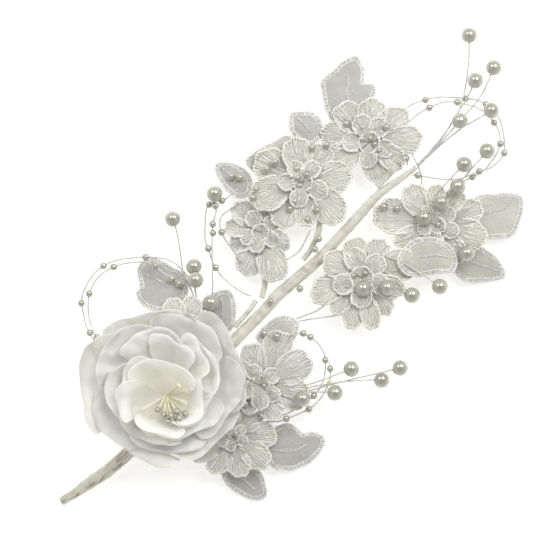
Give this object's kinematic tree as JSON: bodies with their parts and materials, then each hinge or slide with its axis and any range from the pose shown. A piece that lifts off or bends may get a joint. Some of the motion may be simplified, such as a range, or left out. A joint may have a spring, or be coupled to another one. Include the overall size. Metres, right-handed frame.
{
  "type": "flower hair clip",
  "caption": "Bridal hair clip: a fabric rose, lace flowers and organza leaves on a taped wire stem with wired pearls and beaded loops, held by a sprung alligator clip",
  "frame": {"origin": "bottom centre of the whole spray as it lies on a table", "axes": "+X along the stem from its tail to its tip, +Y across it, +Z out of the flower's face"},
  "size_m": [0.2328, 0.1106, 0.0371],
  "materials": {
    "white_satin": "soft satin petals",
    "cream_satin": "soft satin petals, cream towards the heart",
    "organza": "sheer organza with a stitched rim",
    "lace": "embroidered lace, glossy thread",
    "felt": "pressed felt",
    "floral_tape": "wound crepe tape, waxed",
    "stamen": "waxed thread with pearl tips",
    "pearl": "pearlescent ivory",
    "bead_wire": "drawn wire",
    "clip_steel": "nickel plated",
    "crimp_gold": "gold plated"
  },
  "bodies": {
    "spray": {"clip_top_plate": "clip_steel", "clip_hinge_pin": "clip_steel", "clip_spring": "clip_steel", "felt_pad": "felt", "stem_core_wire": "clip_steel", "stem_tape": "floral_tape", "upper_flower_branch": "floral_tape", "rose_side_branch": "floral_tape", "cut_branch_stub": "floral_tape", "lower_branch_stub": "floral_tape", "rose_base": "cream_satin", "rose_outer_petal_1": "white_satin", "rose_outer_petal_2": "white_satin", "rose_outer_petal_3": "white_satin", "rose_outer_petal_4": "white_satin", "rose_outer_petal_5": "white_satin", "rose_middle_petal_1": "white_satin", "rose_middle_petal_2": "white_satin", "rose_middle_petal_3": "white_satin", "rose_middle_petal_4": "white_satin", "rose_middle_petal_5": "white_satin", "rose_inner_petal_1": "cream_satin", "rose_inner_petal_2": "cream_satin", "rose_inner_petal_3": "cream_satin", "rose_inner_petal_4": "cream_satin", "rose_stamens": "stamen", "lace_flower_1": "lace", "lace_flower_2": "lace", "lace_flower_3": "lace", "lace_flower_4": "lace", "lace_flower_5": "lace", "lace_flower_6": "lace", "lace_flower_7": "lace", "lace_flower_8": "lace", "organza_leaf_1": "organza", "organza_leaf_2": "organza", "organza_leaf_3": "organza", "organza_leaf_4": "organza", "organza_leaf_5": "organza", "organza_leaf_6": "organza", "organza_leaf_7": "organza", "organza_leaf_8": "organza", "organza_leaf_9": "organza", "organza_leaf_10": "organza", "organza_leaf_11": "organza", "organza_leaf_12": "organza", "top_spray_wires": "bead_wire", "top_spray_pearls": "pearl", "side_spray_wires": "bead_wire", "side_spray_pearls": "pearl", "lower_spray_wires": "bead_wire", "lower_spray_pearls": "pearl", "left_spray_wires": "bead_wire", "left_spray_pearls": "pearl", "top_loop_wires": "bead_wire", "left_loop_wires": "bead_wire", "rose_loop_wires": "bead_wire", "lower_loop_wires": "bead_wire", "seed_pearls": "pearl"},
    "jaw": {"clip_lower_jaw": "clip_steel"}
  },
  "joints": [
    {"name": "jaw_hinge", "type": "hinge", "parent": "spray", "child": "jaw", "pos_m": [-0.044, 0, 0.005], "axis": [0, -1, 0], "range_deg": [0, 28], "stiffness_Nm_per_rad": 0.04, "springref_deg": -68.75, "deforming": ["clip_spring"]}
  ]
}
